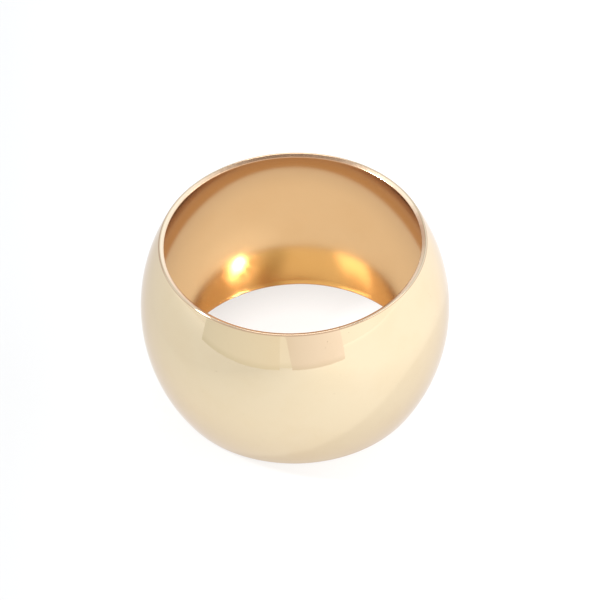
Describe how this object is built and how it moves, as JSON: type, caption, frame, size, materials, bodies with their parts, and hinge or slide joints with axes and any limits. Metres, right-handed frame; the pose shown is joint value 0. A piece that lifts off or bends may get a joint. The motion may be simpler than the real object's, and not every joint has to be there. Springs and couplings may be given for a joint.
{
  "type": "napkin ring",
  "caption": "Open-ended round band of polished gold-coloured sheet metal, bulged outwards like a short barrel, that holds a rolled table napkin.",
  "frame": {"origin": "centre of the lower rim's plane, which is the plane that the ring stands on", "axes": "+Z along the ring's axis, up when it stands on one rim; X and Y are any two directions across it"},
  "size_m": [0.045, 0.045, 0.0261],
  "materials": {
    "polished_gold": "mirror polished, pale gold plated"
  },
  "bodies": {
    "root": {"band": "polished_gold"}
  },
  "joints": []
}
